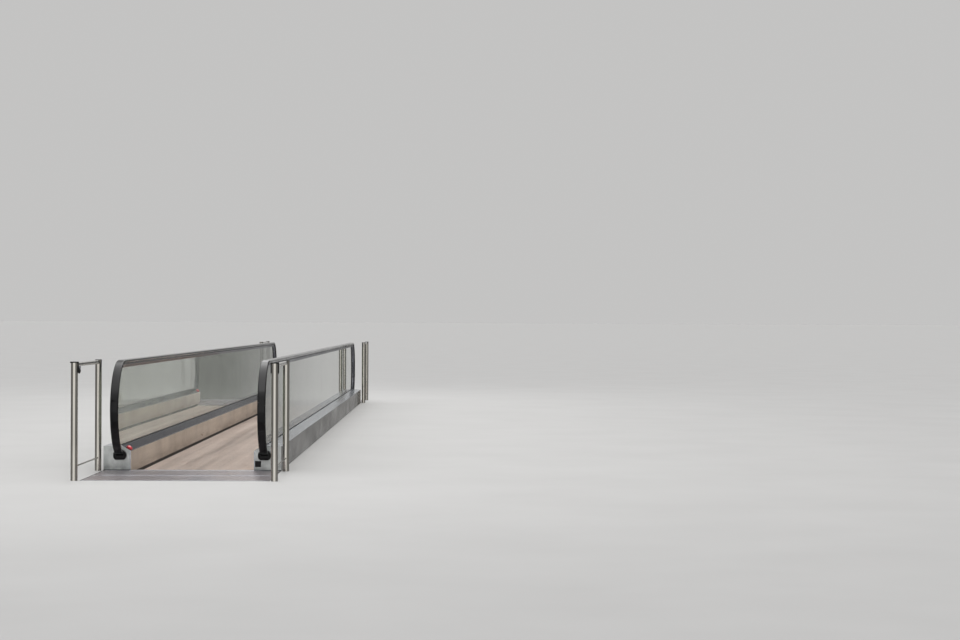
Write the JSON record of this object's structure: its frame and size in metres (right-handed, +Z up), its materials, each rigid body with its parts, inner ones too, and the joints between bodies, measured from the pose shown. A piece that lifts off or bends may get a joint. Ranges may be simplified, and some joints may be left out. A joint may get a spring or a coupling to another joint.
{
  "type": "moving walkway",
  "caption": "Level moving walkway with metal pallets, combs and landings, glass balustrades with looped handrails on round newels, and tubular guard rails.",
  "frame": {"origin": "centre of the footprint, on the underside of the base rails", "axes": "+Y along the walkway, away from the pictured end; +X to the right as a rider coming from there sees it; +Z up"},
  "size_m": [1.9354, 19.3894, 1.176],
  "materials": {
    "frame_steel": "dull dark grey paint",
    "pallet_metal": "worn die-cast, fine lengthwise cleats",
    "comb_metal": "worn satin",
    "landing_metal": "satin with fine crosswise ribs",
    "skirt_steel": "warm satin",
    "deck_metal": "dark satin",
    "channel_metal": "dark anodised",
    "outer_deck_metal": "bright satin",
    "cladding_steel": "fine ground, half gloss",
    "glass": "clear toughened",
    "guide_metal": "anodised satin",
    "handrail_rubber": "smooth, half gloss",
    "front_panel_steel": "satin",
    "inlet_rubber": "matte",
    "guard_steel": "brushed",
    "button_red": "glossy",
    "sensor_black": "dark window"
  },
  "bodies": {
    "root": {"base_rail_left": "frame_steel", "base_rail_right": "frame_steel", "pallets": "pallet_metal", "end_pallet_near": "pallet_metal", "end_pallet_far": "pallet_metal", "comb_near": "comb_metal", "comb_far": "comb_metal", "comb_plate_near": "landing_metal", "comb_plate_far": "landing_metal", "landing_frame_near": "frame_steel", "landing_frame_far": "frame_steel", "landing_covers_near": "landing_metal", "landing_covers_far": "landing_metal", "skirt_left": "skirt_steel", "skirt_right": "skirt_steel", "inner_deck_left": "deck_metal", "inner_deck_right": "deck_metal", "glass_channel_left": "channel_metal", "glass_channel_right": "channel_metal", "outer_deck_left": "outer_deck_metal", "outer_deck_right": "outer_deck_metal", "cladding_left": "cladding_steel", "cladding_right": "cladding_steel", "glass_left": "glass", "glass_right": "glass", "newel_glass_left": "glass", "newel_glass_right": "glass", "guide_left": "guide_metal", "guide_right": "guide_metal", "handrail_left": "handrail_rubber", "handrail_right": "handrail_rubber", "front_panel_near_left": "front_panel_steel", "front_panel_near_right": "front_panel_steel", "front_panel_far_left": "front_panel_steel", "front_panel_far_right": "front_panel_steel", "inlet_near_left": "inlet_rubber", "inlet_near_right": "inlet_rubber", "inlet_far_left": "inlet_rubber", "inlet_far_right": "inlet_rubber", "guard_near_left": "guard_steel", "guard_near_right": "guard_steel", "guard_far_left": "guard_steel", "guard_far_right": "guard_steel", "stop_buttons": "button_red", "entry_sensors": "sensor_black"}
  },
  "joints": []
}
